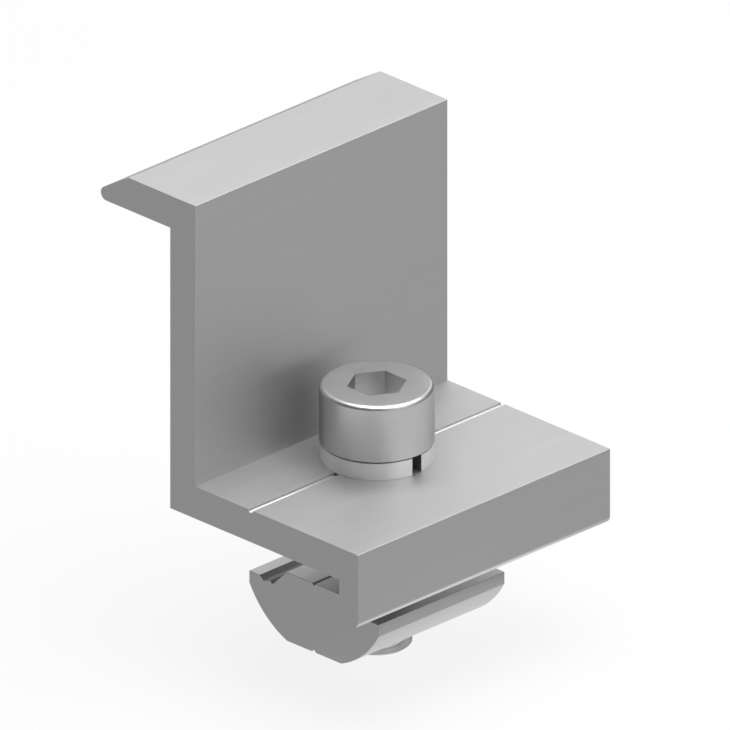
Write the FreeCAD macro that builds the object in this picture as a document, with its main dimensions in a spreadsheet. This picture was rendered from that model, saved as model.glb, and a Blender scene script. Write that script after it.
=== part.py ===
import FreeCAD, Part
import Sketcher
import math
import os
from enum import IntEnum
from types import SimpleNamespace

# End clamp for a framed solar module: a pressed-down aluminium angle, held on a rail by a cap screw
# that draws a nut up against the underside of the rail's slot.
#
# Frame: Z runs up the screw's axis, and Z = 0 is the top of the rail, where the foot stands. -X points
# at the module and +X at the foot. Y runs along the rail and along both extrusions.

# Driving dimensions in millimetres: alias, value, what it measures
SIZES = [
    ("clamp_length", 40.0, "clamp body along the rail"),
    ("wall_thickness", 4.0, "upright wall"),
    ("base_thickness", 4.0, "plate under the screw head"),
    ("base_width", 29.8, "wall's outer face to foot's outer face"),
    ("wall_offset", 12.8, "wall's outer face to screw axis"),
    ("foot_thickness", 3.0, "foot that stands on the rail"),
    ("foot_drop", 5.3, "rail top to the plate's underside"),
    ("foot_round", 1.0, "radius of the foot's outer lower edge"),
    ("frame_height", 40.0, "rail top to the lip's underside"),
    ("lip_thickness", 4.0, "lip over the module frame"),
    ("lip_reach", 11.0, "wall's outer face to the lip's tip"),
    ("lip_flat", 6.6, "wall's outer face to the start of the lip's slope"),
    ("lip_tip_radius", 0.85, "nose of the lip"),
    ("drill_line_width", 0.7, "half-round groove that marks the drilling line"),
    ("screw_diameter", 8.0, "outside of the thread"),
    ("screw_length", 25.0, "under the head to the screw's end"),
    ("screw_lead_in", 0.35, "chamfer on the screw's end"),
    ("screw_play", 0.5, "radial clearance of the screw in the plate"),
    ("head_diameter", 13.0, "screw head"),
    ("head_height", 7.0, "screw head"),
    ("head_round", 0.55, "radius of the head's top edge"),
    ("socket_flats", 6.0, "hexagon across its flats"),
    ("socket_depth", 4.3, "head's top to the end of the flats"),
    ("socket_pilot", 5.6, "drilled hole that the hexagon was pressed into"),
    ("socket_cone_angle", 120.0, "degrees, bottom of that hole"),
    ("washer_height", 2.1, "lock washer pressed flat"),
    ("washer_inset", 0.1, "washer's edge inside the head's edge"),
    ("washer_play", 0.1, "radial clearance of the washer on the screw"),
    ("washer_split", 1.4, "gap in the ring"),
    ("nut_length", 20.0, "nut along the rail"),
    ("nut_width", 20.5, "nut across the rail"),
    ("nut_height", 8.5, "nut's top to its underside"),
    ("nut_drop", 3.1, "rail top to the nut's top"),
    ("nut_sole_width", 8.6, "flat underside of the nut, between its round lower sides"),
    ("nut_top_width", 8.6, "flat top that fits between the rail's lips"),
    ("ledge_width", 1.65, "outer ledge under the rail's lip"),
    ("ledge_drop", 1.75, "nut's top to the ledge"),
    ("ledge_edge_height", 1.46, "upright edge of the nut, ledge to round side"),
    ("valley_depth", 0.48, "ledge to the bottom of the teeth"),
    ("tooth_height", 0.33, "bottom of the teeth to their crest"),
    ("tooth_outer_run", 1.0, "crest to the outer valley"),
    ("ledge_slope_run", 0.65, "outer valley to the ledge"),
    ("centre_line_width", 0.5, "centring groove on the nut's top"),
    ("centre_line_depth", 0.25, "depth of that groove"),
    ("sole_notch_width", 0.7, "centring notch in the nut's underside"),
    ("sole_notch_depth", 0.3, "depth of that notch"),
    ("thread_play", 0.05, "radial clearance of the screw in the nut"),
]

SAME = 1e-7
UP = FreeCAD.Vector(0, 0, 1)


class Reference(IntEnum):
    """Numbers by which the sketcher knows its own axes; the origin is the start of the level one."""
    LEVEL = -1
    UPRIGHT = -2


class Spot(IntEnum):
    """Numbers by which the sketcher knows the points of an edge."""
    START = 1
    END = 2
    CENTRE = 3


ORIGIN = (Reference.LEVEL, Spot.START)


def add_sheet(doc):
    """Fill the spreadsheet and return its numbers by name."""
    sheet = doc.addObject("Spreadsheet::Sheet", "Sizes")
    for row, (alias, value, meaning) in enumerate(SIZES, start=1):
        sheet.set(f"A{row}", alias)
        sheet.set(f"B{row}", str(value))
        sheet.set(f"C{row}", meaning)
        sheet.setAlias(f"B{row}", alias)
    doc.recompute()
    return SimpleNamespace(**{alias: sheet.get(alias) for alias, value, meaning in SIZES})


def bind(item, expressions):
    """Bind the properties of an object to the spreadsheet."""
    for name, expression in expressions.items():
        item.setExpression(name, expression)


def origin_plane(body, role):
    """One of the body's own origin planes."""
    return next(plane for plane in body.Origin.OriginFeatures if plane.Role == role)


def add_sketch(body, name, role, height=None):
    """Sketch on an origin plane of the body, raised by an expression where one is given."""
    sketch = body.newObject("Sketcher::SketchObject", name)
    sketch.AttachmentSupport = [(origin_plane(body, role), "")]
    sketch.MapMode = "FlatFace"
    if height:
        bind(sketch, {"AttachmentOffset.Base.z": height})
    return sketch


def add_feature(body, kind, name, expressions=None, **settings):
    """PartDesign feature with its settings and its bound sizes."""
    feature = body.newObject(f"PartDesign::{kind}", name)
    for setting, value in settings.items():
        setattr(feature, setting, value)
    bind(feature, expressions or {})
    return feature


def draw_loop(sketch, corners, arcs=None, smooth=()):
    """Draw a closed outline, counter-clockwise, and join its edges.

    Edge n runs from corner n to the next one. arcs gives the centre of each round edge by its number,
    and smooth the corners where two edges are tangent. Level and upright lines are held so.
    """
    arcs = arcs or {}
    points = [FreeCAD.Vector(x, y, 0) for x, y in corners]
    for edge, (start, end) in enumerate(zip(points, points[1:] + points[:1])):
        if edge in arcs:
            sketch.addGeometry(arc_between(start, end, FreeCAD.Vector(*arcs[edge], 0)))
            continue
        sketch.addGeometry(Part.LineSegment(start, end))
        if abs(start.y - end.y) < SAME:
            sketch.addConstraint(Sketcher.Constraint("Horizontal", edge))
        elif abs(start.x - end.x) < SAME:
            sketch.addConstraint(Sketcher.Constraint("Vertical", edge))
    for corner in range(len(points)):
        before = (corner - 1) % len(points)
        joint = "Tangent" if corner in smooth else "Coincident"
        sketch.addConstraint(Sketcher.Constraint(joint, before, Spot.END, corner, Spot.START))


def arc_between(start, end, centre):
    """Counter-clockwise arc from start to end."""
    circle = Part.Circle(centre, UP, (start - centre).Length)
    angles = [math.atan2(point.y - centre.y, point.x - centre.x) for point in (start, end)]
    return Part.ArcOfCircle(circle, *angles)


def point_of(corner):
    """A corner as the edge and the end that the sketcher names it by."""
    return corner if isinstance(corner, tuple) else (corner, Spot.START)


def distance(sketch, kind, first, second, expression):
    """Dimension between two corners along one axis of the sketch, bound to the spreadsheet."""
    first, second = point_of(first), point_of(second)
    gap = sketch.getPoint(*second) - sketch.getPoint(*first)
    value = gap.x if kind == "DistanceX" else gap.y
    if value < 0:
        first, second = second, first
    index = sketch.addConstraint(Sketcher.Constraint(kind, *first, *second, abs(value)))
    bind(sketch, {f"Constraints[{index}]": expression})


def across(sketch, first, second, expression):
    distance(sketch, "DistanceX", first, second, expression)


def upward(sketch, first, second, expression):
    distance(sketch, "DistanceY", first, second, expression)


def radius(sketch, edge, expression):
    """Radius of a round edge, bound to the spreadsheet."""
    value = sketch.Geometry[edge].Radius
    index = sketch.addConstraint(Sketcher.Constraint("Radius", edge, value))
    bind(sketch, {f"Constraints[{index}]": expression})


def hold_on(sketch, corner, axis):
    """Keep a corner on an axis of the sketch."""
    sketch.addConstraint(Sketcher.Constraint("PointOnObject", *point_of(corner), axis))


def add_circle(sketch, size, expression):
    """Circle about the sketch's origin."""
    edge = sketch.addGeometry(Part.Circle(FreeCAD.Vector(), UP, size))
    sketch.addConstraint(Sketcher.Constraint("Coincident", edge, Spot.CENTRE, *ORIGIN))
    radius(sketch, edge, expression)


def add_bore(body, name, size, expression, height=None, **settings):
    """Drilled hole down the Z axis, from a height in the body."""
    sketch = add_sketch(body, f"{name}_sketch", "XY_Plane", height)
    add_circle(sketch, size / 2, f"({expression}) / 2")
    body.Document.recompute()
    return add_feature(body, "Hole", name, {"Diameter": expression}, Profile=sketch, ThreadType="None",
                       **settings)


def tangent_point(start, centre, size):
    """Where a line from start touches the left side of the circle."""
    reach = math.dist(start, centre)
    towards = math.atan2(centre[1] - start[1], centre[0] - start[0])
    run = math.sqrt(reach ** 2 - size ** 2)
    heading = towards - math.asin(size / reach)
    return start[0] + run * math.cos(heading), start[1] + run * math.sin(heading)


def draw_clamp_profile(sketch, size):
    """Section of the clamp: foot, plate, wall and lip."""
    wall_out = -size.wall_offset
    wall_in = wall_out + size.wall_thickness
    foot_out = wall_out + size.base_width
    foot_in = foot_out - size.foot_thickness
    plate_low = size.foot_drop
    plate_top = plate_low + size.base_thickness
    lip_low = size.frame_height
    lip_top = lip_low + size.lip_thickness
    slope_start = (wall_out - size.lip_flat, lip_top)
    nose = (wall_out - size.lip_reach + size.lip_tip_radius, lip_low + size.lip_tip_radius)
    corners = [
        (wall_out, plate_low),
        (foot_in, plate_low),
        (foot_in, 0),
        (foot_out - size.foot_round, 0),
        (foot_out, size.foot_round),
        (foot_out, plate_top),
        (wall_in, plate_top),
        (wall_in, lip_top),
        slope_start,
        tangent_point(slope_start, nose, size.lip_tip_radius),
        (nose[0], lip_low),
        (wall_out, lip_low),
    ]
    arcs = {3: (foot_out - size.foot_round, size.foot_round), 9: nose}
    draw_loop(sketch, corners, arcs, smooth=(3, 4, 9, 10))
    across(sketch, 0, ORIGIN, "Sizes.wall_offset")
    across(sketch, 0, 6, "Sizes.wall_thickness")
    across(sketch, 0, 5, "Sizes.base_width")
    across(sketch, 1, 5, "Sizes.foot_thickness")
    upward(sketch, ORIGIN, 0, "Sizes.foot_drop")
    upward(sketch, 0, 5, "Sizes.base_thickness")
    hold_on(sketch, 2, Reference.LEVEL)
    radius(sketch, 3, "Sizes.foot_round")
    upward(sketch, ORIGIN, 11, "Sizes.frame_height")
    upward(sketch, 11, 7, "Sizes.lip_thickness")
    across(sketch, 8, 11, "Sizes.lip_flat")
    radius(sketch, 9, "Sizes.lip_tip_radius")
    across(sketch, (9, Spot.CENTRE), 11, "Sizes.lip_reach - Sizes.lip_tip_radius")


def draw_drill_line(sketch, size):
    """Section of the drilling line: a circle about a point of the plate's top face."""
    centre = FreeCAD.Vector(0, size.foot_drop + size.base_thickness, 0)
    edge = sketch.addGeometry(Part.Circle(centre, UP, size.drill_line_width / 2))
    radius(sketch, edge, "Sizes.drill_line_width / 2")
    hold_on(sketch, (edge, Spot.CENTRE), Reference.UPRIGHT)
    upward(sketch, ORIGIN, (edge, Spot.CENTRE), "Sizes.foot_drop + Sizes.base_thickness")


def clamp_body(doc, size):
    """One length of aluminium extrusion, drilled for the screw."""
    body = doc.addObject("PartDesign::Body", "clamp_body")
    profile = add_sketch(body, "clamp_profile", "XZ_Plane")
    draw_clamp_profile(profile, size)
    add_feature(body, "Pad", "extrusion", {"Length": "Sizes.clamp_length"}, Profile=profile,
                SideType="Symmetric")
    line = add_sketch(body, "drill_line_sketch", "XZ_Plane")
    draw_drill_line(line, size)
    add_feature(body, "Pocket", "drill_line", {"Length": "Sizes.clamp_length"}, Profile=line,
                SideType="Symmetric")
    add_bore(body, "screw_hole", size.screw_diameter + 2 * size.screw_play,
             "Sizes.screw_diameter + 2 * Sizes.screw_play",
             height="Sizes.foot_drop + Sizes.base_thickness", DepthType="ThroughAll")
    return body


def lock_washer(doc, size):
    """Split ring, pressed flat between the head and the plate."""
    body = doc.addObject("PartDesign::Body", "lock_washer")
    ring = add_sketch(body, "ring_sketch", "XY_Plane")
    outer = size.head_diameter / 2 - size.washer_inset
    add_circle(ring, outer, "Sizes.head_diameter / 2 - Sizes.washer_inset")
    add_circle(ring, size.screw_diameter / 2 + size.washer_play,
               "Sizes.screw_diameter / 2 + Sizes.washer_play")
    add_feature(body, "Pad", "ring", {"Length": "Sizes.washer_height"}, Profile=ring)
    split = add_sketch(body, "split_sketch", "XY_Plane")
    half = size.washer_split / 2
    draw_loop(split, [(0, -half), (size.head_diameter, -half), (size.head_diameter, half), (0, half)])
    hold_on(split, 0, Reference.UPRIGHT)
    across(split, 0, 1, "Sizes.head_diameter")
    upward(split, 0, ORIGIN, "Sizes.washer_split / 2")
    upward(split, ORIGIN, 3, "Sizes.washer_split / 2")
    add_feature(body, "Pocket", "split", Profile=split, Type="ThroughAll", Reversed=True)
    bind(body, {"Placement.Base.z": "Sizes.foot_drop + Sizes.base_thickness"})
    return body


def draw_screw_profile(sketch, size):
    """Half section of the screw, with its head's seat at the level axis."""
    shank = size.screw_diameter / 2
    head = size.head_diameter / 2
    tip = -size.screw_length
    draw_loop(sketch, [(0, tip), (shank - size.screw_lead_in, tip), (shank, tip + size.screw_lead_in),
                       (shank, 0), (head, 0), (head, size.head_height), (0, size.head_height)])
    hold_on(sketch, 0, Reference.UPRIGHT)
    hold_on(sketch, 4, Reference.LEVEL)
    across(sketch, 0, 3, "Sizes.screw_diameter / 2")
    across(sketch, 1, 2, "Sizes.screw_lead_in")
    upward(sketch, 1, 2, "Sizes.screw_lead_in")
    upward(sketch, 0, ORIGIN, "Sizes.screw_length")
    across(sketch, 0, 5, "Sizes.head_diameter / 2")
    upward(sketch, 4, 5, "Sizes.head_height")


def draw_hexagon(sketch, size):
    """Hexagon with two corners on the level axis, its width measured across the flats."""
    outer = size.socket_flats / math.sqrt(3)
    turns = [math.radians(60 * corner) for corner in range(6)]
    corners = [(outer * math.cos(turn), outer * math.sin(turn)) for turn in turns]
    draw_loop(sketch, corners)
    circle = sketch.addGeometry(Part.Circle(FreeCAD.Vector(), UP, outer), True)
    sketch.addConstraint(Sketcher.Constraint("Coincident", circle, Spot.CENTRE, *ORIGIN))
    for corner in range(6):
        hold_on(sketch, corner, circle)
    hold_on(sketch, 0, Reference.LEVEL)
    for edge in range(3):
        sketch.addConstraint(Sketcher.Constraint("Equal", edge, edge + 1))
    upward(sketch, 5, 1, "Sizes.socket_flats")


def top_rim(feature, height):
    """Name of the round edge of a solid of revolution at the given height."""
    rims = [(edge.Curve.Radius, f"Edge{number}")
            for number, edge in enumerate(feature.Shape.Edges, start=1)
            if isinstance(edge.Curve, Part.Circle) and abs(edge.Curve.Center.z - height) < SAME]
    return max(rims)[1]


def cap_screw(doc, size):
    """Socket head cap screw, its thread drawn as a plain shank of the outside diameter."""
    body = doc.addObject("PartDesign::Body", "cap_screw")
    profile = add_sketch(body, "screw_profile", "XZ_Plane")
    draw_screw_profile(profile, size)
    turned = add_feature(body, "Revolution", "turned_blank", Profile=profile,
                         ReferenceAxis=(profile, ["V_Axis"]), Angle=360)
    doc.recompute()
    add_feature(body, "Fillet", "head_edge", {"Radius": "Sizes.head_round"},
                Base=(turned, [top_rim(turned, size.head_height)]))
    add_bore(body, "socket_pilot_hole", size.socket_pilot, "Sizes.socket_pilot",
             height="Sizes.head_height", DepthType="Dimension", DrillPoint="Angled")
    pilot = body.Tip
    bind(pilot, {"Depth": "Sizes.socket_depth", "DrillPointAngle": "Sizes.socket_cone_angle"})
    hexagon = add_sketch(body, "socket_sketch", "XY_Plane", height="Sizes.head_height")
    draw_hexagon(hexagon, size)
    add_feature(body, "Pocket", "socket", {"Length": "Sizes.socket_depth"}, Profile=hexagon)
    bind(body, {"Placement.Base.z": "Sizes.foot_drop + Sizes.base_thickness + Sizes.washer_height"})
    return body


def centre_height(low, high):
    """Height on the upright axis of the centre of an arc through two points."""
    return (math.hypot(*high) ** 2 - math.hypot(*low) ** 2) / (high[1] - low[1]) / 2


def draw_nut_profile(sketch, size):
    """Right half of the nut's section, with its top at the level axis."""
    side = size.nut_width / 2
    sole = size.nut_sole_width / 2
    low = -size.nut_height
    top = size.nut_top_width / 2
    ledge = -size.ledge_drop
    valley = ledge - size.valley_depth
    outer_valley = side - size.ledge_width - size.ledge_slope_run
    crest = outer_valley - size.tooth_outer_run
    bow_top = ledge - size.ledge_edge_height
    centre = centre_height((sole, low), (side, bow_top))
    corners = [
        (0, low + size.sole_notch_depth),
        (size.sole_notch_width / 2, low),
        (sole, low),
        (side, bow_top),
        (side, ledge),
        (side - size.ledge_width, ledge),
        (outer_valley, valley),
        (crest, valley + size.tooth_height),
        (top - valley, valley),
        (top, 0),
        (size.centre_line_width / 2, 0),
        (0, -size.centre_line_depth),
    ]
    draw_loop(sketch, corners, arcs={2: (0, centre)})
    hold_on(sketch, 0, Reference.UPRIGHT)
    hold_on(sketch, (2, Spot.CENTRE), Reference.UPRIGHT)
    hold_on(sketch, 9, Reference.LEVEL)
    across(sketch, 0, 1, "Sizes.sole_notch_width / 2")
    upward(sketch, 1, 0, "Sizes.sole_notch_depth")
    across(sketch, 0, 2, "Sizes.nut_sole_width / 2")
    upward(sketch, 2, ORIGIN, "Sizes.nut_height")
    across(sketch, 0, 4, "Sizes.nut_width / 2")
    upward(sketch, 3, 4, "Sizes.ledge_edge_height")
    upward(sketch, 4, ORIGIN, "Sizes.ledge_drop")
    across(sketch, 5, 4, "Sizes.ledge_width")
    across(sketch, 6, 5, "Sizes.ledge_slope_run")
    upward(sketch, 6, 5, "Sizes.valley_depth")
    across(sketch, 7, 6, "Sizes.tooth_outer_run")
    upward(sketch, 6, 7, "Sizes.tooth_height")
    upward(sketch, 8, 5, "Sizes.valley_depth")
    across(sketch, 9, 8, "Sizes.ledge_drop + Sizes.valley_depth")
    across(sketch, 0, 9, "Sizes.nut_top_width / 2")
    across(sketch, 11, 10, "Sizes.centre_line_width / 2")
    upward(sketch, 11, 10, "Sizes.centre_line_depth")


def slot_nut(doc, size):
    """Nut for the rail's slot: a sawn length of extrusion with teeth on its shoulders."""
    body = doc.addObject("PartDesign::Body", "slot_nut")
    profile = add_sketch(body, "nut_profile", "XZ_Plane")
    draw_nut_profile(profile, size)
    half = add_feature(body, "Pad", "half_extrusion", {"Length": "Sizes.nut_length"}, Profile=profile,
                       SideType="Symmetric")
    doc.recompute()
    whole = add_feature(body, "Mirrored", "whole_extrusion", Originals=[half],
                        MirrorPlane=(origin_plane(body, "YZ_Plane"), [""]))
    body.Tip = whole
    doc.recompute()
    add_bore(body, "thread_hole", size.screw_diameter + 2 * size.thread_play,
             "Sizes.screw_diameter + 2 * Sizes.thread_play", DepthType="ThroughAll")
    bind(body, {"Placement.Base.z": "-Sizes.nut_drop"})
    return body


def check_document(doc, bodies):
    """Stop if a feature failed, a cut removed nothing or a piece is not one sound solid."""
    for item in doc.Objects:
        if "Invalid" in item.State or "Error" in item.State:
            raise RuntimeError(f"{item.Label} failed: {item.State}")
        if item.TypeId in ("PartDesign::Pocket", "PartDesign::Hole"):
            if item.Shape.Volume > item.BaseFeature.Shape.Volume - SAME:
                raise RuntimeError(f"{item.Label} cuts nothing")
    for body in bodies:
        if body.Shape.isNull() or not body.Shape.isValid() or len(body.Shape.Solids) != 1:
            raise RuntimeError(f"{body.Label} is not one valid solid")


def main():
    doc = FreeCAD.newDocument("end_clamp")
    size = add_sheet(doc)
    bodies = [build(doc, size) for build in (clamp_body, lock_washer, cap_screw, slot_nut)]
    doc.recompute()
    check_document(doc, bodies)
    os.makedirs("parts", exist_ok=True)
    for body in bodies:
        body.Shape.exportStep(f"parts/{body.Label}.step")
        box = body.Shape.BoundBox
        print(f"{body.Label}: volume {body.Shape.Volume:.1f} mm3, "
              f"x {box.XMin:.2f} to {box.XMax:.2f}, y {box.YMin:.2f} to {box.YMax:.2f}, "
              f"z {box.ZMin:.2f} to {box.ZMax:.2f}")


main()
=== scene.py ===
import math
from typing import NamedTuple

import bmesh
import bpy
from bpy.props import FloatProperty, FloatVectorProperty, IntProperty, PointerProperty
from mathutils import Matrix, Vector


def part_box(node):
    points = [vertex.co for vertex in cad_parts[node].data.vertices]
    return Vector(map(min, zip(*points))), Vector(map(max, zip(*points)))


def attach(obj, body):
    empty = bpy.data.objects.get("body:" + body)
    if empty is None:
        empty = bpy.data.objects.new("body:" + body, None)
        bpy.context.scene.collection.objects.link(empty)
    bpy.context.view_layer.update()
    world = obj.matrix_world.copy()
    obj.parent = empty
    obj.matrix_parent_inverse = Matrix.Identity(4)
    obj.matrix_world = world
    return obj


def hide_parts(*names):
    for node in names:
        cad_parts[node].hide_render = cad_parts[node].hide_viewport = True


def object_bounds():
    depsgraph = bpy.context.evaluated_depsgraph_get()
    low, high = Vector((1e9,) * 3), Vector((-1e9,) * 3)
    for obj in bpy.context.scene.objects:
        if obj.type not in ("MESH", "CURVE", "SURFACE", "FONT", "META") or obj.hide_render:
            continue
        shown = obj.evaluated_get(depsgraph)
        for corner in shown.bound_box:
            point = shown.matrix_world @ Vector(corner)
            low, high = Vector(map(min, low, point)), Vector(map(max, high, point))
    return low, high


bl_info = {
    "name": "Solar end clamp",
    "version": (1, 0, 0),
    "blender": (4, 5, 0),
    "location": "3D View > Sidebar > End clamp",
    "description": "Extrusions, screw, washer and stage of an end clamp for framed solar modules",
    "category": "Object",
}

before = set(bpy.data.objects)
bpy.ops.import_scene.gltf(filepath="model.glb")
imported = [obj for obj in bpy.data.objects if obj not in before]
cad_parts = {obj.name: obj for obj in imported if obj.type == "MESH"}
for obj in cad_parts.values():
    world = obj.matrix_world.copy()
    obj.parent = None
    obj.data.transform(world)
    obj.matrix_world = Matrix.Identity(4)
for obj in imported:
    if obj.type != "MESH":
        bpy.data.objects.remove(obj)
CAD_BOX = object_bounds()
CLAMP_LOW, CLAMP_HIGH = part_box("clamp_body")
NUT_LOW, NUT_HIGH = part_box("slot_nut")
SCREW_LOW, SCREW_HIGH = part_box("cap_screw")
WASHER_LOW, WASHER_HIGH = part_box("lock_washer")

MM = 0.001
SAME_PLACE = 1e-7

# Fineness and limits of the meshes.
SIDES = 96
ROUND_STEP = math.radians(12)
BOW_STEP = math.radians(3)
SHARP_ANGLE = math.radians(32)
RIM_STEPS = 3
QUARTER = [math.pi / 2 * step / RIM_STEPS for step in range(RIM_STEPS + 1)]
MITRE_LIMIT = 0.5

# Metric thread. Widths are shares of the pitch and heights are shares of the depth.
FLANK_ANGLE = math.radians(30)
CREST_WIDTH = 1 / 16
CREST_FLAT_WIDTH = 0.6 / 16
CREST_ROUND_HEIGHT = 0.06
FLANK_BEND_HEIGHT = 0.12
ROOT_ROUND_WIDTH = 0.02

# Places on the metals that look different, and by how much. The socket's lighter tone is painted light and
# the sheared ends' darker tone is painted shade.
END_FACING = 0.8
SOCKET_REACH = 3.48 * MM
SOCKET_DEPTH = 5.8 * MM
SOCKET_LIP = 0.02 * MM
# The socket's lighter tone is painted light against the shade in its recess.
SOCKET_PAINTED_LIGHT = 0.06
SOCKET_SMOOTHER = 0.03
SHEARED_REACH = 0.72 * MM
# The sheared ends' darker tone is painted shade in the split.
SHEARED_PAINTED_SHADE = 0.6
SHEARED_ROUGHER = 0.2
GROOVE_LIP = 0.01 * MM
ROUND_SHARE = 0.8

# Marks on the metals, in features to the metre, and how the long ones are stretched.
DIE_LINES = 9000
DIE_BANDS = 900
EXTRUDED_GRAIN = 14000
EXTRUDED_CLOUD = 180
SAW_LINES = 4200
FORMED_GRAIN = 16000
FORMED_CLOUD = 350
DRAWN_LINES = 5000
TUMBLED_GRAIN = 9000
TUMBLED_CLOUD = 700
ALONG_DIE = (1.0, 0.01, 1.0)
ALONG_BANDS = (1.0, 0.02, 1.0)
ALONG_SCREW = (1.0, 1.0, 0.03)
SAW_CENTRE = (-0.11, 0.0, -0.07)

# Place and size of each lamp, in metres. Its brightness is the stage setting of the same name.
LAMPS = {
    "overhead": ((0.04, 0.05, 0.6), (0.6, 0.64)),
    "behind": ((-0.45, 0.45, 0.4), (0.7, 0.4)),
    "beside": ((0.6, 0.05, 0.35), (0.5, 0.4)),
    "groove": ((0.29, 0.45, 0.45), (0.4, 0.3)),
}

# Heights on the world's sphere over which the pale band fades, and middle of the floor's white patch.
HORIZON_FADE = (0.03, 0.12)
WHITE_CENTRE = (8 * MM, 8 * MM, 0.0)


def length(name, description, default):
    """Property for a size in metres."""
    return FloatProperty(name=name, description=description, default=default, min=0.0, precision=5,
                         subtype="DISTANCE", unit="LENGTH")


def share(name, description, default):
    """Property for a share from 0 to 1."""
    return FloatProperty(name=name, description=description, default=default, min=0.0, max=1.0,
                         subtype="FACTOR")


def turn(name, description, degrees):
    """Property for an angle."""
    return FloatProperty(name=name, description=description, default=math.radians(degrees),
                         subtype="ANGLE", unit="ROTATION")


def brightness(name, description, default):
    """Property for a lamp's brightness in shares of white, or for a metal's tone, which may pass 1."""
    return FloatProperty(name=name, description=description, default=default, min=0.0)


def colour(name, description, default):
    """Property for a colour, as light that it sends back."""
    return FloatVectorProperty(name=name, description=description, default=default, size=3, min=0.0,
                               max=1.0, subtype="COLOR")


class ClampSizes(bpy.types.PropertyGroup):
    """Section of the clamp's extrusion and its drilled hole."""
    wall: length("Wall", "Thickness of the upright wall", 4.0 * MM)
    plate: length("Plate", "Thickness of the plate under the screw", 4.0 * MM)
    foot: length("Foot", "Thickness of the foot that stands on the rail", 3.0 * MM)
    foot_round: length("Foot round", "Radius of the foot's outer lower edge", 1.0 * MM)
    lip: length("Lip", "Thickness of the lip", 4.0 * MM)
    lip_reach: length("Lip reach", "Wall's outer face to the lip's tip", 11.0 * MM)
    lip_flat: length("Lip flat", "Wall's outer face to the start of the lip's slope", 6.6 * MM)
    lip_tip: length("Lip tip", "Radius of the lip's nose", 0.85 * MM)
    line: length("Line", "Radius of the half-round groove that marks the drilling line", 0.35 * MM)
    hole: length("Hole", "Diameter of the screw's hole", 9.0 * MM)
    hole_chamfer: length("Hole chamfer", "Deburred edge of the hole", 0.2 * MM)
    corner: length("Corner", "Radius that the die leaves on the section's corners", 0.1 * MM)
    rim: length("Rim", "Deburred edge of the sawn ends", 0.05 * MM)


class NutSizes(bpy.types.PropertyGroup):
    """Section of the nut's extrusion."""
    top: length("Top", "Width of the flat top", 8.6 * MM)
    sole: length("Sole", "Width of the flat underside", 8.6 * MM)
    ledge: length("Ledge", "Width of the outer ledge", 1.65 * MM)
    ledge_drop: length("Ledge drop", "Top to the ledge", 1.75 * MM)
    edge: length("Edge", "Upright edge, from the ledge to the round side", 1.46 * MM)
    valley: length("Valley", "Ledge to the bottom of the teeth", 0.48 * MM)
    tooth: length("Tooth", "Bottom of the teeth to their crest", 0.33 * MM)
    tooth_run: length("Tooth run", "Crest to the outer valley", 1.0 * MM)
    ledge_run: length("Ledge run", "Outer valley to the ledge", 0.65 * MM)
    line_width: length("Line width", "Centring groove in the top", 0.5 * MM)
    line_depth: length("Line depth", "Depth of that groove", 0.25 * MM)
    notch_width: length("Notch width", "Centring notch in the underside", 0.7 * MM)
    notch_depth: length("Notch depth", "Depth of that notch", 0.3 * MM)
    mouth: length("Mouth", "Radius of the countersunk mouth of the thread", 4.25 * MM)
    corner: length("Corner", "Radius that the die leaves on the section's corners", 0.06 * MM)
    rim: length("Rim", "Deburred edge of the sawn ends", 0.05 * MM)


class ScrewSizes(bpy.types.PropertyGroup):
    """Head and thread of the screw."""
    pitch: length("Pitch", "Rise of the thread in one turn", 1.25 * MM)
    thread_play: length("Thread play", "Crest of the thread inside the nominal diameter", 0.02 * MM)
    core: length("Core", "Radius at the bottom of the thread", 3.233 * MM)
    nut_core: length("Nut core", "Radius at the crest of the nut's thread", 3.324 * MM)
    nut_play: length("Nut play", "Bottom of the nut's thread outside the nominal diameter", 0.05 * MM)
    nominal: length("Nominal", "Radius of the thread", 4.0 * MM)
    tip: length("Tip", "Radius of the screw's flat end", 3.65 * MM)
    lead: share("Lead", "Share of a turn by which the thread starts late", 0.685)
    neck: length("Neck", "Radius of the plain neck under the head", 3.58 * MM)
    run_out: length("Run-out", "Length over which the thread fades into the neck", 1.6 * MM)
    neck_length: length("Neck length", "Plain neck under the head", 0.9 * MM)
    seat_round: length("Seat round", "Radius between neck and head", 0.35 * MM)
    head_round: length("Head round", "Radius of the head's top edge", 0.55 * MM)
    head_rim: length("Head rim", "Height of the broken edge of the head's underside", 0.2 * MM)
    head_rim_width: length("Head rim width", "Width of that edge", 0.44 * MM)
    flats: length("Flats", "Hexagon socket across its flats", 6.0 * MM)
    socket_depth: length("Socket depth", "Head's top to the end of the flats", 4.3 * MM)
    pilot: length("Pilot", "Radius of the drilled hole under the hexagon", 2.8 * MM)
    cone: turn("Cone", "Angle of the bottom of that hole", 120)


class WasherSizes(bpy.types.PropertyGroup):
    """Section and split of the lock washer."""
    bore: length("Bore", "Radius of the washer's bore", 4.1 * MM)
    split: length("Split", "Gap in the ring", 1.4 * MM)
    corner: length("Corner", "Radius of the wire's edges", 0.08 * MM)


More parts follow.
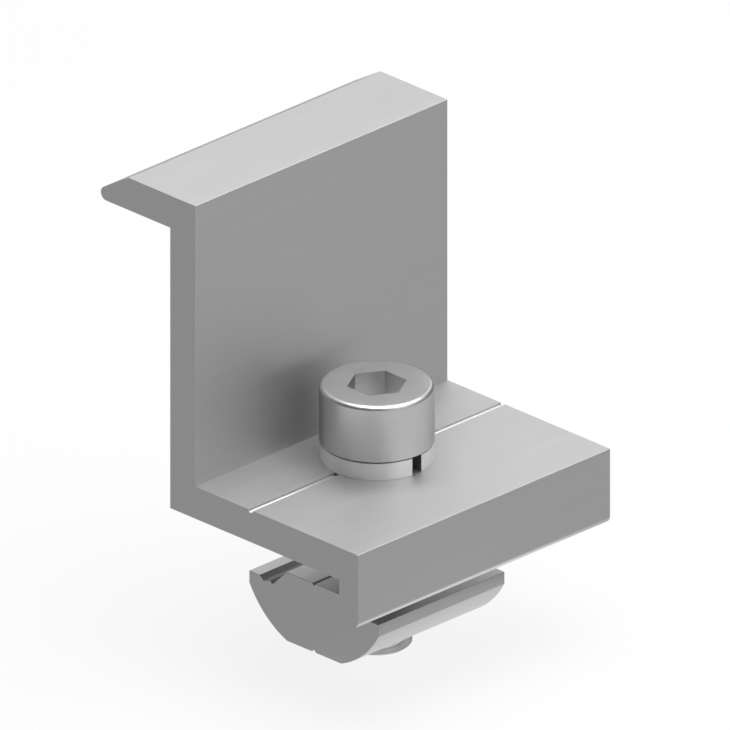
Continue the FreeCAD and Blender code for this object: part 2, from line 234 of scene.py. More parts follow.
class Finishes(bpy.types.PropertyGroup):
    """Colours, roughness and relief of the metals."""
    clamp_colour: colour("Clamp", "Extruded aluminium of the clamp", (0.53, 0.53, 0.533))
    nut_colour: colour("Nut", "Extruded aluminium of the nut", (0.5, 0.5, 0.503))
    screw_colour: colour("Screw", "Stainless steel of the screw", (0.7, 0.7, 0.7))
    washer_colour: colour("Washer", "Spring steel of the washer", (0.92, 0.92, 0.92))
    extruded: share("Extruded", "Roughness of the extruded faces", 0.56)
    nut_extruded: share("Extruded nut", "Roughness of the nut's extruded faces", 0.38)
    sawn: share("Sawn", "Roughness of the sawn ends", 0.6)
    # The nut's sawn ends are lighter than the clamp's: painted light against the shade under the plate.
    nut_sawn_painted_light: brightness("Sawn nut", "Tone of the nut's sawn ends", 1.1)
    formed: share("Formed", "Roughness of the screw", 0.38)
    formed_edge: share("Formed edge", "Tone of the screw where it is seen at a low angle", 0.6)
    tumbled: share("Tumbled", "Roughness of the washer", 0.43)
    relief: length("Relief", "Height of the marks on extrusions and washer", 0.004 * MM)
    formed_relief: length("Formed relief", "Height of the marks on the screw", 0.0025 * MM)


class StageSettings(bpy.types.PropertyGroup):
    """Camera, lamps and floor. Brightness is in shares of white."""
    azimuth: turn("Azimuth", "Camera's direction round the object", 45)
    elevation: turn("Elevation", "Camera's height over the level", 25.04)
    picture: IntProperty(name="Picture", description="Side of the picture", default=730, subtype="PIXEL")
    scale: FloatProperty(name="Scale", description="Pixels of the picture to a metre", default=8920)
    origin_across: FloatProperty(name="Origin across", description="Pixel of the origin, from the left",
                                 default=376.89, subtype="PIXEL")
    origin_down: FloatProperty(name="Origin down", description="Pixel of the origin, from the top",
                               default=531.85, subtype="PIXEL")
    distance: length("Distance", "Camera to the object", 0.5)
    floor_size: length("Floor", "Side of the floor", 6.0)
    floor_colour: colour("Floor colour", "Pale paper of the floor", (0.74, 0.74, 0.74))
    floor_glow: share("Floor glow", "How much of the floor shows plain white", 0.86)
    floor_far: share("Floor far", "How bright the metal sees the floor away from the object", 0.65)
    white_reach: length("White reach", "Distance to which the metal sees the floor white", 14 * MM)
    pale_reach: length("Pale reach", "Distance from which it sees the floor less bright", 24 * MM)
    overhead: brightness("Overhead", "Brightness of the lamp above", 4.6)
    behind: brightness("Behind", "Brightness of the lamp behind", 1.2)
    beside: brightness("Beside", "Brightness of the lamp on the foot's side", 1.3)
    groove: brightness("Groove", "Brightness of the lamp that lights up the grooves", 1.15)
    horizon: colour("Horizon", "Pale surroundings just over the floor", (0.1, 0.1, 0.1))
    sky: colour("Sky", "Dim surroundings over that", (0.02, 0.02, 0.02))


class EndClampSettings(bpy.types.PropertyGroup):
    """Everything that a user would change."""
    clamp: PointerProperty(type=ClampSizes)
    nut: PointerProperty(type=NutSizes)
    screw: PointerProperty(type=ScrewSizes)
    washer: PointerProperty(type=WasherSizes)
    finish: PointerProperty(type=Finishes)
    stage: PointerProperty(type=StageSettings)


def arc_points(centre, start, end, step=ROUND_STEP):
    """Points from start to end about a centre, the shorter way round."""
    centre, start, end = Vector(centre), Vector(start), Vector(end)
    out = start - centre
    first = math.atan2(out.y, out.x)
    last = math.atan2((end - centre).y, (end - centre).x)
    sweep = (last - first + math.pi) % math.tau - math.pi
    steps = max(2, math.ceil(abs(sweep) / step))
    turns = [first + sweep * index / steps for index in range(steps + 1)]
    return [centre + out.length * Vector((math.cos(angle), math.sin(angle))) for angle in turns]


def rounded(corners):
    """Outline with its corners rounded. A corner is its place across, its height and its radius."""
    points = []
    for index, (across, height, radius) in enumerate(corners):
        corner = Vector((across, height))
        if not radius:
            points.append(corner)
            continue
        before = (Vector(corners[index - 1][:2]) - corner).normalized()
        after = (Vector(corners[(index + 1) % len(corners)][:2]) - corner).normalized()
        half = before.angle(after) / 2
        run = radius / math.tan(half)
        centre = corner + (before + after).normalized() * radius / math.sin(half)
        points += arc_points(centre, corner + before * run, corner + after * run)
    return points


def inset(points, distance):
    """Outline drawn in by a distance; it runs anticlockwise."""
    moved = []
    for index, point in enumerate(points):
        before = (point - points[index - 1]).normalized()
        after = (points[(index + 1) % len(points)] - point).normalized()
        normal = (Vector((-before.y, before.x)) + Vector((-after.y, after.x))).normalized()
        lean = max(MITRE_LIMIT, normal.dot(Vector((-after.y, after.x))))
        moved.append(point + normal * distance / lean)
    return moved


def bridge(mesh, rings, closed=True):
    """Quads between rings of points; gives the rings' vertices."""
    rings = [[mesh.verts.new(point) for point in ring] for ring in rings]
    for first, second in zip(rings, rings[1:]):
        count = len(first)
        for index in range(count if closed else count - 1):
            after = (index + 1) % count
            mesh.faces.new((first[index], first[after], second[after], second[index]))
    return rings


def extrusion(outline, low, high, rim):
    """Length of extrusion along Y, its sawn ends with a rim of the given radius."""
    mesh = bmesh.new()
    inner = [(low + rim * (1 - math.cos(angle)), rim * (1 - math.sin(angle))) for angle in QUARTER]
    stations = inner + [(low + high - place, drawn) for place, drawn in reversed(inner)]
    rings = [[(point.x, place, point.y) for point in inset(outline, drawn)] for place, drawn in stations]
    rings = bridge(mesh, rings)
    mesh.faces.new(rings[0])
    mesh.faces.new(rings[-1])
    return mesh


def turned(mesh, profile):
    """Surface of revolution about Z through radius and height pairs; gives its rings."""
    return bridge(mesh, [ring(radius, height) for radius, height in profile])


def ring(radius, height):
    """Points round the Z axis. The radius is a number or a function of the angle."""
    turns = [math.tau * side / SIDES for side in range(SIDES)]
    sizes = [radius(angle) if callable(radius) else radius for angle in turns]
    return [(size * math.cos(angle), size * math.sin(angle), height) for size, angle in zip(sizes, turns)]


def thread_form(depth, pitch):
    """Shares of the pitch and of the depth along one turn of a metric thread, from the middle of a crest."""
    crest, flat, shoulder = CREST_WIDTH, CREST_FLAT_WIDTH, 1 - CREST_ROUND_HEIGHT
    flank = depth * math.tan(FLANK_ANGLE) / pitch
    bend = crest + (1 - FLANK_BEND_HEIGHT) * flank
    root = crest + flank + ROOT_ROUND_WIDTH
    return [(-crest, shoulder), (-flat, 1.0), (flat, 1.0), (crest, shoulder), (bend, FLANK_BEND_HEIGHT),
            (root, 0.0), (1 - root, 0.0), (1 - bend, FLANK_BEND_HEIGHT), (1 - crest, shoulder)]


def share_at(form, along):
    """Share of the thread's depth at any place along it, in turns from the middle of a crest."""
    along = form[0][0] + (along - form[0][0]) % 1
    for (before, low), (after, high) in zip(form, form[1:]):
        if along <= after:
            break
    return low + (high - low) * (along - before) / (after - before)


def thread(mesh, low, high, radius, depth, size, limit):
    """Right-hand thread between two heights, with limit as the shape of its ends."""
    pitch = size.pitch
    form = thread_form(depth, pitch)
    start = math.floor(low / pitch) - 1 - size.lead
    turns = math.ceil(high / pitch - start) + 1
    rows = []
    for step in range(turns * SIDES + 1):
        angle = math.tau * step / SIDES
        begin = start + step / SIDES
        row = []
        for along, _ in form:
            height = min(high, max(low, (begin + along) * pitch))
            out = share_at(form, height / pitch - begin)
            reach = limit(radius - depth * (1 - out), height)
            row.append((reach * math.cos(angle), reach * math.sin(angle), height))
        rows.append(row)
    bridge(mesh, rows, closed=False)
    bmesh.ops.remove_doubles(mesh, verts=mesh.verts, dist=SAME_PLACE)


def close_ends(mesh):
    """Flat faces over every open ring."""
    open_edges = [edge for edge in mesh.edges if edge.is_boundary]
    bmesh.ops.holes_fill(mesh, edges=open_edges, sides=0)


def to_object(mesh, name):
    """Blender object from a finished mesh."""
    bmesh.ops.remove_doubles(mesh, verts=mesh.verts, dist=SAME_PLACE)
    bmesh.ops.recalc_face_normals(mesh, faces=mesh.faces)
    data = bpy.data.meshes.new(name)
    mesh.to_mesh(data)
    mesh.free()
    made = bpy.data.objects.new(name, data)
    bpy.context.scene.collection.objects.link(made)
    return made


def apply_modifiers(piece):
    """Make the modifiers' result the piece's own mesh."""
    bpy.context.view_layer.update()
    shown = piece.evaluated_get(bpy.context.evaluated_depsgraph_get())
    before = piece.data
    piece.data = bpy.data.meshes.new_from_object(shown)
    piece.modifiers.clear()
    bpy.data.meshes.remove(before)
    piece.data.name = piece.name


def cut(piece, tool):
    """Take a tool's shape out of a piece."""
    boolean = piece.modifiers.new("cut", "BOOLEAN")
    boolean.operation = "DIFFERENCE"
    boolean.solver = "EXACT"
    boolean.object = tool
    weld = piece.modifiers.new("weld", "WELD")
    weld.merge_threshold = SAME_PLACE
    apply_modifiers(piece)
    bpy.data.objects.remove(tool)


def dress(piece, body, node, material):
    """Shade the piece, put its material on it and hand it to the frame."""
    piece.data.shade_smooth()
    piece.data.set_sharp_from_angle(angle=SHARP_ANGLE)
    weighted = piece.modifiers.new("normals", "WEIGHTED_NORMAL")
    weighted.keep_sharp = True
    apply_modifiers(piece)
    piece.data.materials.clear()
    piece.data.materials.append(material)
    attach(piece, body)
    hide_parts(node)


def clamp_outline(size):
    """Section of the clamp: foot, plate with its drilling line, wall and lip."""
    wall_out = CLAMP_LOW.x + size.lip_reach
    wall_in = wall_out + size.wall
    foot_in = CLAMP_HIGH.x - size.foot
    plate_top = WASHER_LOW.z
    plate_low = plate_top - size.plate
    lip_top = CLAMP_HIGH.z
    lip_low = lip_top - size.lip
    slope_start = wall_out - size.lip_flat
    nose = Vector((CLAMP_LOW.x + size.lip_tip, lip_low + size.lip_tip))
    back = nose - Vector((slope_start, lip_top))
    slope = math.atan2(-back.y, -back.x) - math.asin(size.lip_tip / back.length)
    lip_corner = slope_start - size.lip / math.tan(slope)
    line = arc_points((0, plate_top), (size.line, plate_top), (0, plate_top - size.line))
    line += arc_points((0, plate_top), (0, plate_top - size.line), (-size.line, plate_top))[1:]
    corner = size.corner
    return rounded([
        (wall_out, plate_low, corner),
        (foot_in, plate_low, 0),
        (foot_in, CLAMP_LOW.z, corner),
        (CLAMP_HIGH.x, CLAMP_LOW.z, size.foot_round),
        (CLAMP_HIGH.x, plate_top, corner),
        *[(point.x, point.y, 0) for point in line],
        (wall_in, plate_top, 0),
        (wall_in, lip_top, corner),
        (slope_start, lip_top, corner),
        (lip_corner, lip_low, size.lip_tip),
        (wall_out, lip_low, 0),
    ])


def drill(size):
    """Tool that leaves the screw's hole, deburred at both faces of the plate."""
    top = WASHER_LOW.z
    low = top - size.plate
    radius = size.hole / 2
    edge = size.hole_chamfer
    spare = size.plate / 2
    mesh = bmesh.new()
    turned(mesh, [(radius + edge, low - spare), (radius + edge, low), (radius, low + edge),
                  (radius, top - edge), (radius + edge, top), (radius + edge, top + spare)])
    close_ends(mesh)
    return to_object(mesh, "drill")


def nut_outline(size):
    """Section of the nut: round lower sides, ledges, teeth and a flat top."""
    side = NUT_HIGH.x
    low = NUT_LOW.z
    ledge = NUT_HIGH.z - size.ledge_drop
    valley = ledge - size.valley
    edge_low = ledge - size.edge
    sole = size.sole / 2
    outer_valley = side - size.ledge - size.ledge_run
    crest = outer_valley - size.tooth_run
    inner_valley = size.top / 2 + size.ledge_drop + size.valley
    centre = (side ** 2 + edge_low ** 2 - sole ** 2 - low ** 2) / (edge_low - low) / 2
    bow = arc_points((0, centre), (sole, low), (side, edge_low), BOW_STEP)
    corner = size.corner
    right = [(size.notch_width / 2, low, 0), *[(point.x, point.y, 0) for point in bow],
             (side, ledge, corner), (side - size.ledge, ledge, corner), (outer_valley, valley, corner),
             (crest, valley + size.tooth, corner), (inner_valley, valley, corner),
             (size.top / 2, NUT_HIGH.z, corner), (size.line_width / 2, NUT_HIGH.z, 0)]
    left = [(-across, height, radius) for across, height, radius in reversed(right)]
    groove = (0, NUT_HIGH.z - size.line_depth, 0)
    return rounded([*right, groove, *left, (0, low + size.notch_depth, 0)])


def tap(size, mouth):
    """Tool that leaves the nut's thread, with a countersunk mouth at each end."""
    spare = size.pitch / 2
    radius = size.nominal + size.nut_play

    def limit(out, height):
        past_end = max(height - NUT_HIGH.z, NUT_LOW.z - height)
        return max(out, mouth + past_end)

    mesh = bmesh.new()
    thread(mesh, NUT_LOW.z - spare, NUT_HIGH.z + spare, radius, radius - size.nut_core, size, limit)
    close_ends(mesh)
    return to_object(mesh, "tap")


def screw_thread(mesh, size):
    """The screw's thread, from its chamfered end to the plain neck under the head."""
    top = WASHER_HIGH.z - size.neck_length
    crest = size.nominal - size.thread_play

    def limit(out, height):
        fade = min(1.0, (top - height) / size.run_out)
        return min(size.neck + (out - size.neck) * fade, size.tip + height - SCREW_LOW.z)

    thread(mesh, SCREW_LOW.z, top, crest, crest - size.core, size, limit)
    close_ends(mesh)
    lids = [face for face in mesh.faces if len(face.verts) == SIDES and face.calc_center_median().z > 0]
    bmesh.ops.delete(mesh, geom=lids, context="FACES_ONLY")


def head_profile(size):
    """Radius and height pairs from the neck, round the head and down into the socket."""
    seat = WASHER_HIGH.z
    top = SCREW_HIGH.z
    head = SCREW_HIGH.x
    floor = top - size.socket_depth
    seat_round = arc_points((size.neck + size.seat_round, seat - size.seat_round),
                            (size.neck, seat - size.seat_round), (size.neck + size.seat_round, seat))
    rim = [(head - size.head_rim_width, seat), (head, seat + size.head_rim)]
    crown = arc_points((head - size.head_round, top - size.head_round), (head, top - size.head_round),
                       (head - size.head_round, top))

    def hexagon(angle):
        return size.flats / 2 / math.cos(angle % (math.pi / 3) - math.pi / 6)

    socket = [(hexagon, top), (hexagon, floor), (size.pilot, floor),
              (0, floor - size.pilot / math.tan(size.cone / 2))]
    neck = [(size.neck, seat - size.neck_length)]
    return [*neck, *seat_round, *rim, *crown, *socket]


def washer_mesh(size):
    """Split ring: its rounded section carried round from one end of the split to the other."""
    low, high = WASHER_LOW.z, WASHER_HIGH.z
    outer = -WASHER_LOW.x
    corner = size.corner
    section = rounded([(size.bore, low, corner), (outer, low, corner),
                       (outer, high, corner), (size.bore, high, corner)])
    rows = []
    for step in range(SIDES + 1):
        for drawn, past in end_stations(step, corner):
            rows.append(washer_row(inset(section, drawn), step / SIDES, size.split / 2 + past))
    mesh = bmesh.new()
    rings = bridge(mesh, rows)
    mesh.faces.new(rings[0])
    mesh.faces.new(rings[-1])
    return mesh


def end_stations(step, corner):
    """How far the section is drawn in, and its distance from the split's face, at one step of the ring."""
    if step not in (0, SIDES):
        return [(0.0, 0.0)]
    rim = corner / 2
    stations = [(rim * (1 - math.sin(angle)), rim * (1 - math.cos(angle))) for angle in QUARTER]
    return stations if step == 0 else stations[::-1]


def washer_row(section, along, half_gap):
    """One row of the ring, on a line from split to split that keeps the split's faces parallel."""
    row = []
    for radius, height in section:
        end = math.asin(half_gap / radius)
        angle = end + along * (math.tau - 2 * end)
        row.append((radius * math.cos(angle), radius * math.sin(angle), height))
    return row


class Value:
    """A node's output that takes part in sums; each operator adds the Math node that works it out."""

    def __init__(self, shader, socket):
        self.shader = shader
        self.socket = socket

    def maths(self, operation, *numbers):
        return self.shader.node("ShaderNodeMath", {"operation": operation}, dict(enumerate(numbers)))

    def without_sign(self):
        return self.maths("ABSOLUTE", self)

    def over(self, limit):
        return self.maths("GREATER_THAN", self, limit)

    def under(self, limit):
        return self.maths("LESS_THAN", self, limit)

    def within(self, low, high):
        return self.over(low) * self.under(high)

    def __add__(self, other):
        return self.maths("ADD", self, other)

    def __sub__(self, other):
        return self.maths("SUBTRACT", self, other)

    def __rsub__(self, other):
        return self.maths("SUBTRACT", other, self)

    def __mul__(self, other):
        return self.maths("MULTIPLY", self, other)

    __radd__ = __add__
    __rmul__ = __mul__


class Shader:
    """Node tree that is written down one node at a time."""

    def __init__(self, owner):
        owner.use_nodes = True
        self.tree = owner.node_tree
        self.tree.nodes.clear()

    def node(self, kind, settings=None, inputs=None, output=0):
        """Add a node: its settings, then the numbers or links of its sockets; gives one of its outputs."""
        made = self.tree.nodes.new(kind)
        for name, setting in (settings or {}).items():
            setattr(made, name, setting)
        for name, value in (inputs or {}).items():
            socket = self.find(made.inputs, name)
            if isinstance(value, Value):
                self.tree.links.new(value.socket, socket)
            else:
                socket.default_value = value
        return Value(self, self.find(made.outputs, output)) if made.outputs else None

    @staticmethod
    def find(sockets, name):
        """Socket by its place or by its name among those in use."""
        if isinstance(name, int):
            return sockets[name]
        return next(socket for socket in sockets if socket.enabled and socket.name == name)

    def coordinates(self, output="Object"):
        """Place on the object, or its normal there."""
        return self.node("ShaderNodeTexCoord", output=output)

    def stretch(self, vector, scale):
        """Vector with its axes scaled one by one."""
        return self.node("ShaderNodeVectorMath", {"operation": "MULTIPLY"}, {0: vector, 1: scale}, "Vector")

    def noise(self, vector, scale, detail=2.0):
        """Noise about 0.5, with scale in features to the metre."""
        return self.node("ShaderNodeTexNoise", inputs={"Vector": vector, "Scale": scale, "Detail": detail},
                         output="Fac")

    def axis(self, vector, name):
        """One number of a vector."""
        return self.node("ShaderNodeSeparateXYZ", inputs={0: vector}, output=name)

    def distance(self, vector, centre):
        """Distance between a vector and a fixed place."""
        return self.node("ShaderNodeVectorMath", {"operation": "DISTANCE"}, {0: vector, 1: centre}, "Value")

    def fade(self, value, low, high):
        """Smooth rise from 0 to 1 between two numbers."""
        return self.node("ShaderNodeMapRange", {"interpolation_type": "SMOOTHSTEP"},
                         {"Value": value, "From Min": low, "From Max": high})

    @staticmethod
    def around(middle, *marks):
        """Number that varies about a middle; each mark is a noise and how far it carries the number."""
        total = middle - sum(spread for noise, spread in marks) / 2
        for noise, spread in marks:
            total = total + noise * spread
        return total

    def blend(self, factor, first, second):
        """Numbers mixed by a factor."""
        return self.node("ShaderNodeMix", {"data_type": "FLOAT"},
                         {"Factor": factor, "A": first, "B": second}, "Result")

    def mix(self, factor, first, second):
        """Shaders mixed by a factor."""
        return self.node("ShaderNodeMixShader", inputs={0: factor, 1: first, 2: second})

    def tint(self, plain, tone):
        """Colour made lighter or darker by a tone."""
        return self.node("ShaderNodeMix", {"data_type": "RGBA", "blend_type": "MULTIPLY"},
                         {"Factor": 1.0, "A": (*plain, 1.0), "B": tone}, "Result")

    def metal(self, plain, tone, roughness, relief, height, edge=1.0):
        """Bare metal: its colour by a tone, its roughness and a relief of the given height in metres.

        The edge is its tone where it is seen at a low angle."""
        bump = self.node("ShaderNodeBump", inputs={"Strength": 1.0, "Distance": height, "Height": relief})
        surface = self.node("ShaderNodeBsdfPrincipled", inputs={
            "Base Color": self.tint(plain, tone), "Metallic": 1.0, "Roughness": roughness,
            "Specular Tint": (edge, edge, edge, 1.0), "Normal": bump})
        self.node("ShaderNodeOutputMaterial", inputs={"Surface": surface})


class Strip(NamedTuple):
    """Strip along an extrusion, by its distance from the YZ plane and its height, whose tone is painted
    lighter or darker as painted highlight or painted shade, and whose roughness may change.
    """
    across: tuple
    height: tuple
    lighter: float
    smoother: float = 0.0


def extruded_metal(name, plain, roughness, finish, sawn_tone=1.0, strips=()):
    """Aluminium extrusion: fine lines of the die along it, curved lines of the saw on its ends."""
    material = bpy.data.materials.new(name)
    shader = Shader(material)
    place = shader.coordinates()
    end = shader.axis(shader.coordinates("Normal"), "Y").without_sign().over(END_FACING)
    lines = shader.noise(shader.stretch(place, ALONG_DIE), DIE_LINES, detail=3)
    bands = shader.noise(shader.stretch(place, ALONG_BANDS), DIE_BANDS)
    grain = shader.noise(place, EXTRUDED_GRAIN)
    cloud = shader.noise(place, EXTRUDED_CLOUD, detail=3)
    saw = shader.node("ShaderNodeTexNoise", {"noise_dimensions": "1D"},
                      {"W": shader.distance(place, SAW_CENTRE), "Scale": SAW_LINES, "Detail": 2.0}, "Fac")
    relief = shader.blend(end, lines * 0.7 + grain * 0.3, saw * 0.75 + grain * 0.25)
    tone = shader.blend(end, shader.around(1.0, (bands, 0.06), (lines, 0.08), (cloud, 0.04)),
                        shader.around(sawn_tone, (saw, 0.1), (grain, 0.06), (cloud, 0.04)))
    polish = shader.blend(end, shader.around(roughness, (bands, 0.05), (cloud, 0.05)),
                          shader.around(finish.sawn, (saw, 0.06), (cloud, 0.04)))
    across, height = shader.axis(place, "X").without_sign(), shader.axis(place, "Z")
    # Each strip adds painted highlight or painted shade to the tone, and takes from the roughness.
    for strip in strips:
        inside = across.within(*strip.across) * height.within(*strip.height) * (1 - end)
        tone = tone + inside * strip.lighter
        polish = polish - inside * strip.smoother
    shader.metal(plain, tone, polish, relief, finish.relief)
    return material


def clamp_strips(size):
    """The drilling line and the foot's round edge: smoother, and painted lighter as a painted highlight."""
    line, edge, top = size.line, size.foot_round, WASHER_LOW.z
    side, sole = CLAMP_HIGH.x, CLAMP_LOW.z
    return [Strip((-line, line), (top - line * 2, top - GROOVE_LIP), lighter=0.33, smoother=0.2),
            Strip((side - edge, side + edge), (sole - edge, sole + edge * ROUND_SHARE),
                  lighter=0.2, smoother=0.2)]


def nut_strips(size):
    """Painted shade on the nut's groove, teeth and upright edges, which are made darker."""
    top, line = NUT_HIGH.z, size.line_width / 2
    ledge, teeth = top - size.ledge_drop, NUT_HIGH.x - size.ledge
    side = NUT_HIGH.x - size.corner
    return [Strip((-line, line), (ledge, top - GROOVE_LIP), lighter=-0.4),
            Strip((-teeth, teeth), (ledge - size.valley * 2, ledge - GROOVE_LIP), lighter=-0.2),
            Strip((side, side * 2), (ledge - size.edge, ledge - size.corner), lighter=-0.32)]


def formed_steel(name, plain, finish):
    """Cold-headed stainless steel: smooth, with faint marks of the die, and a smoother socket painted
    lighter, as painted light against the shade in its recess.
    """
    material = bpy.data.materials.new(name)
    shader = Shader(material)
    place = shader.coordinates()
    from_axis = shader.distance(shader.stretch(place, (1.0, 1.0, 0.0)), (0.0, 0.0, 0.0))
    depth = SCREW_HIGH.z - shader.axis(place, "Z")
    socket = from_axis.under(SOCKET_REACH) * depth.within(SOCKET_LIP, SOCKET_DEPTH)
    grain = shader.noise(place, FORMED_GRAIN, detail=3)
    cloud = shader.noise(place, FORMED_CLOUD, detail=3)
    drawn = shader.noise(shader.stretch(place, ALONG_SCREW), DRAWN_LINES)
    # Painted light: the socket's tone is raised against the shade inside it.
    tone = shader.around(1.0, (cloud, 0.1), (drawn, 0.06), (grain, 0.04)) + socket * SOCKET_PAINTED_LIGHT
    polish = shader.around(finish.formed, (cloud, 0.08), (drawn, 0.04)) - socket * SOCKET_SMOOTHER
    relief = grain * 0.5 + drawn * 0.5
    shader.metal(plain, tone, polish, relief, finish.formed_relief, finish.formed_edge)
    return material


def tumbled_steel(name, plain, finish):
    """Spring steel, tumbled after it was coiled; its sheared ends rougher and darkened as painted shade in
    the split.
    """
    material = bpy.data.materials.new(name)
    shader = Shader(material)
    place = shader.coordinates()
    across, along = shader.axis(place, "X"), shader.axis(place, "Y")
    sheared = along.within(-SHEARED_REACH, SHEARED_REACH) * across.over(0.0)
    grain = shader.noise(place, TUMBLED_GRAIN, detail=4)
    cloud = shader.noise(place, TUMBLED_CLOUD, detail=3)
    # Painted shade: the sheared ends are darkened because the split lies in shade.
    tone = shader.around(0.99, (cloud, 0.12), (grain, 0.1)) - sheared * SHEARED_PAINTED_SHADE
    polish = shader.around(finish.tumbled, (cloud, 0.1), (grain, 0.04)) + sheared * SHEARED_ROUGHER
    shader.metal(plain, tone, polish, grain, finish.relief)
    return material


def floor_material(size):
    """Pale paper that shows white to the camera and in the metal, and keeps the object's shadow."""
    material = bpy.data.materials.new("pale_paper")
    material.cycles.emission_sampling = "NONE"
    shader = Shader(material)
    camera, glossy, clear = [shader.node("ShaderNodeLightPath", output=f"Is {kind} Ray")
                             for kind in ("Camera", "Glossy", "Transmission")]
    mirrored = glossy.maths("MAXIMUM", glossy, clear)
    # Painted reflection: in the metal the floor glows full white near WHITE_CENTRE and dimmer beyond
    # pale_reach, a glowing patch that lights the metal's undersides.
    away = shader.distance(shader.coordinates(), WHITE_CENTRE)
    fade = shader.fade(away, size.white_reach, size.pale_reach)
    paper = shader.node("ShaderNodeBsdfDiffuse", inputs={"Color": (*size.floor_colour, 1.0)})
    white, pale = [shader.node("ShaderNodeEmission", inputs={"Strength": strength})
                   for strength in (1.0, size.floor_far)]
    seen = shader.mix(camera * size.floor_glow, paper, white)
    surface = shader.mix(mirrored, seen, shader.mix(fade, white, pale))
    shader.node("ShaderNodeOutputMaterial", inputs={"Surface": surface})
    return material


def surroundings(horizon, sky):
    """Pale band just over the floor and a dim room over it."""
    world = bpy.data.worlds.new("studio")
    bpy.context.scene.world = world
    shader = Shader(world)
    over = shader.fade(shader.axis(shader.coordinates("Generated"), "Z"), *HORIZON_FADE)
    seen = shader.node("ShaderNodeMix", {"data_type": "RGBA"},
                       {"Factor": over, "A": (*horizon, 1.0), "B": (*sky, 1.0)}, "Result")
    light = shader.node("ShaderNodeBackground", inputs={"Color": seen, "Strength": 1.0})
    shader.node("ShaderNodeOutputWorld", inputs={"Surface": light})


def soft_box(name, place, size, level):
    """Lamp that faces the object; its level is in shares of white."""
    data = bpy.data.lights.new(name, "AREA")
    data.shape = "RECTANGLE"
    data.size, data.size_y = size
    data.energy = level * math.pi * size[0] * size[1]
    lamp = bpy.data.objects.new(name, data)
    lamp.location = place
    lamp.rotation_euler = Vector(place).to_track_quat("Z", "Y").to_euler()
    lamp.visible_camera = False
    bpy.context.scene.collection.objects.link(lamp)


def place_camera(size):
    """Parallel view of the object, in the picture's frame."""
    angle, raised = size.azimuth, size.elevation
    right = Vector((math.cos(angle), math.sin(angle), 0))
    back = Vector((math.sin(angle) * math.cos(raised), -math.cos(angle) * math.cos(raised), math.sin(raised)))
    up = back.cross(right)
    middle = size.picture / 2
    aim = (right * (middle - size.origin_across) + up * (size.origin_down - middle)) / size.scale
    data = bpy.data.cameras.new("camera")
    data.type = "ORTHO"
    data.ortho_scale = size.picture / size.scale
    camera = bpy.data.objects.new("camera", data)
    turn_to_view = Matrix((right, up, back)).transposed().to_4x4()
    camera.matrix_world = Matrix.Translation(aim + back * size.distance) @ turn_to_view
    bpy.context.scene.collection.objects.link(camera)
    bpy.context.scene.camera = camera


class ENDCLAMP_OT_clamp_body(bpy.types.Operator):
    """Build the clamp body: extrusion with lip, wall, plate and foot, drilled for the screw"""
    bl_idname = "end_clamp.clamp_body"
    bl_label = "Clamp body"

    def execute(self, context):
        settings = context.scene.end_clamp
        size = settings.clamp
        mesh = extrusion(clamp_outline(size), CLAMP_LOW.y, CLAMP_HIGH.y, size.rim)
        piece = to_object(mesh, "clamp_extrusion")
        cut(piece, drill(size))
        finish = settings.finish
        metal = extruded_metal("clamp_aluminium", finish.clamp_colour, finish.extruded, finish,
                               strips=clamp_strips(size))
        dress(piece, "clamp", "clamp_body", metal)
        return {"FINISHED"}


class ENDCLAMP_OT_lock_washer(bpy.types.Operator):
    """Build the split lock washer, pressed flat under the screw's head"""
    bl_idname = "end_clamp.lock_washer"
    bl_label = "Lock washer"

    def execute(self, context):
        settings = context.scene.end_clamp
        piece = to_object(washer_mesh(settings.washer), "split_washer")
        metal = tumbled_steel("washer_steel", settings.finish.washer_colour, settings.finish)
        dress(piece, "clamp", "lock_washer", metal)
        return {"FINISHED"}


class ENDCLAMP_OT_cap_screw(bpy.types.Operator):
    """Build the socket head cap screw with its rolled thread"""
    bl_idname = "end_clamp.cap_screw"
    bl_label = "Cap screw"

    def execute(self, context):
        settings = context.scene.end_clamp
        mesh = bmesh.new()
        screw_thread(mesh, settings.screw)
        turned(mesh, head_profile(settings.screw))
        piece = to_object(mesh, "threaded_cap_screw")
        metal = formed_steel("screw_steel", settings.finish.screw_colour, settings.finish)
        dress(piece, "screw", "cap_screw", metal)
        return {"FINISHED"}


class ENDCLAMP_OT_slot_nut(bpy.types.Operator):
    """Build the toothed nut and tap its thread"""
    bl_idname = "end_clamp.slot_nut"
    bl_label = "Slot nut"

    def execute(self, context):
        settings = context.scene.end_clamp
        size = settings.nut
        mesh = extrusion(nut_outline(size), NUT_LOW.y, NUT_HIGH.y, size.rim)
        piece = to_object(mesh, "tapped_nut")
        cut(piece, tap(settings.screw, size.mouth))
        finish = settings.finish
        metal = extruded_metal("nut_aluminium", finish.nut_colour, finish.nut_extruded, finish,
                               finish.nut_sawn_painted_light, nut_strips(size))
        dress(piece, "nut", "slot_nut", metal)
        return {"FINISHED"}


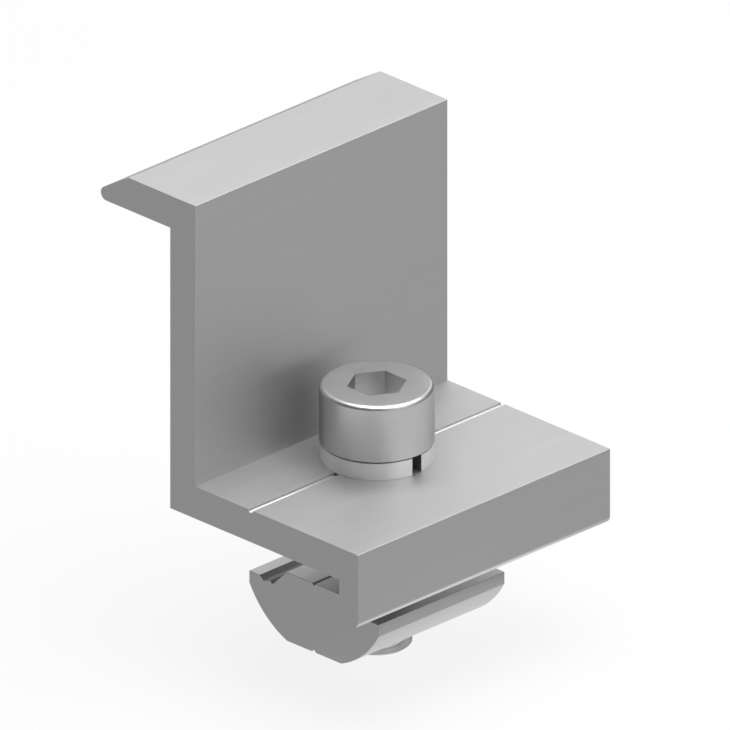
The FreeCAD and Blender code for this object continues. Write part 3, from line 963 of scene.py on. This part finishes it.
class ENDCLAMP_OT_stage(bpy.types.Operator):
    """Set up the pale floor, the soft lamps, the surroundings and the camera"""
    bl_idname = "end_clamp.stage"
    bl_label = "Stage"

    def execute(self, context):
        size = context.scene.end_clamp.stage
        mesh = bmesh.new()
        bmesh.ops.create_grid(mesh, x_segments=1, y_segments=1, size=size.floor_size / 2)
        floor = to_object(mesh, "floor")
        floor.location.z = CAD_BOX[0].z
        floor.data.materials.append(floor_material(size))
        for name, (place, extent) in LAMPS.items():
            soft_box(name, place, extent, getattr(size, name))
        surroundings(size.horizon, size.sky)
        place_camera(size)
        context.scene.view_settings.view_transform = "Standard"
        return {"FINISHED"}


class ENDCLAMP_PT_sidebar(bpy.types.Panel):
    """Lists the pieces of the end clamp, the stage and their settings"""
    bl_idname = "ENDCLAMP_PT_sidebar"
    bl_label = "End clamp"
    bl_space_type = "VIEW_3D"
    bl_region_type = "UI"
    bl_category = "End clamp"

    def draw(self, context):
        settings = context.scene.end_clamp
        for operator, group in PIECES:
            self.layout.operator(operator.bl_idname)
            self.list_settings(getattr(settings, group))
        self.layout.label(text="Metals")
        self.list_settings(settings.finish)

    def list_settings(self, group):
        """Show every setting of a group."""
        for name in group.bl_rna.properties.keys():
            if name not in ("rna_type", "name"):
                self.layout.prop(group, name)


PIECES = [
    (ENDCLAMP_OT_clamp_body, "clamp"),
    (ENDCLAMP_OT_lock_washer, "washer"),
    (ENDCLAMP_OT_cap_screw, "screw"),
    (ENDCLAMP_OT_slot_nut, "nut"),
    (ENDCLAMP_OT_stage, "stage"),
]
GROUPS = [ClampSizes, NutSizes, ScrewSizes, WasherSizes, Finishes, StageSettings, EndClampSettings]
CLASSES = GROUPS + [operator for operator, group in PIECES] + [ENDCLAMP_PT_sidebar]


def register():
    for kind in CLASSES:
        bpy.utils.register_class(kind)
    bpy.types.Scene.end_clamp = PointerProperty(type=EndClampSettings)


def unregister():
    del bpy.types.Scene.end_clamp
    for kind in reversed(CLASSES):
        bpy.utils.unregister_class(kind)


def main():
    """Build every piece and the stage."""
    register()
    bpy.ops.end_clamp.clamp_body()
    bpy.ops.end_clamp.lock_washer()
    bpy.ops.end_clamp.cap_screw()
    bpy.ops.end_clamp.slot_nut()
    bpy.ops.end_clamp.stage()


if __name__ == "__main__":
    main()
